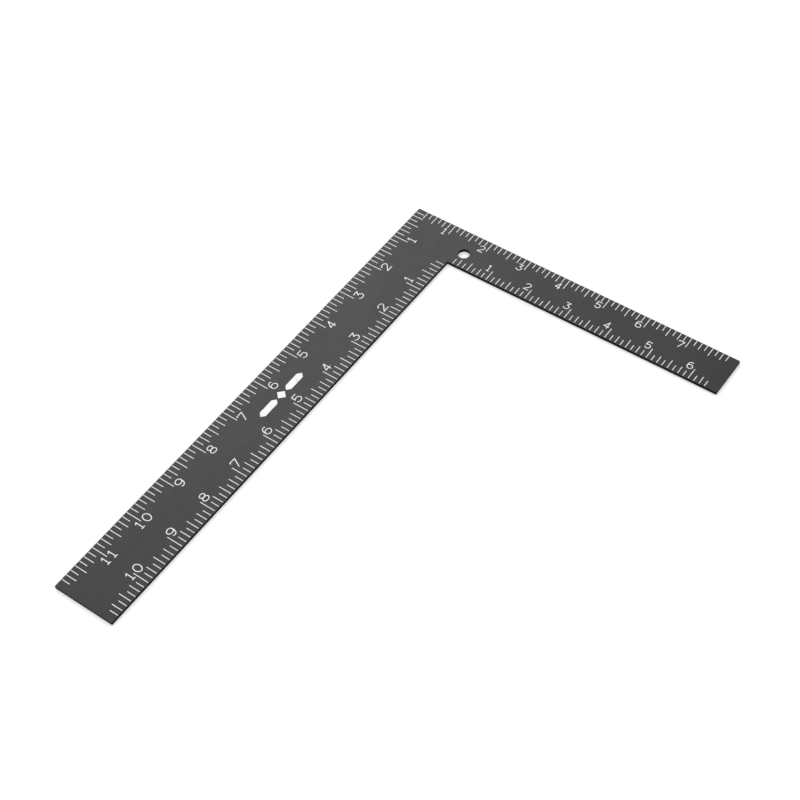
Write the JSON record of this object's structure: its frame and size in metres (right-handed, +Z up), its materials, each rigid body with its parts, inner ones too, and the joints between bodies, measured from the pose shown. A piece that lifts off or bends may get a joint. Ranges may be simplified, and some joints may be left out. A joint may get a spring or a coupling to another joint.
{
  "type": "steel square ruler",
  "caption": "Flat L-shaped steel square with a dark finish, white-filled inch scales on the front, metric scales on the back and a hanging hole beside the inside corner.",
  "frame": {"origin": "under the middle of the bounding box, on the back face that the square lies on", "axes": "+Z up out of the front face; the blade runs along -Y and the tongue along +X from the heel, which is the corner at -X, +Y"},
  "size_m": [0.2064, 0.3066, 0.002],
  "materials": {
    "black_steel": "satin black coating on sheet steel",
    "mark_paint": "matt white filling paint",
    "emblem_paint": "matt white filling paint, laid thicker"
  },
  "bodies": {
    "root": {"square_body": "black_steel", "blade_outer_inch_marks": "mark_paint", "blade_outer_inch_numerals": "mark_paint", "blade_inner_inch_marks": "mark_paint", "blade_inner_inch_numerals": "mark_paint", "blade_outer_metric_marks": "mark_paint", "blade_outer_metric_numerals": "mark_paint", "tongue_outer_inch_marks": "mark_paint", "tongue_outer_inch_numerals": "mark_paint", "tongue_inner_inch_marks": "mark_paint", "tongue_inner_inch_numerals": "mark_paint", "tongue_outer_metric_marks": "mark_paint", "tongue_outer_metric_numerals": "mark_paint", "emblem": "emblem_paint"}
  },
  "joints": []
}
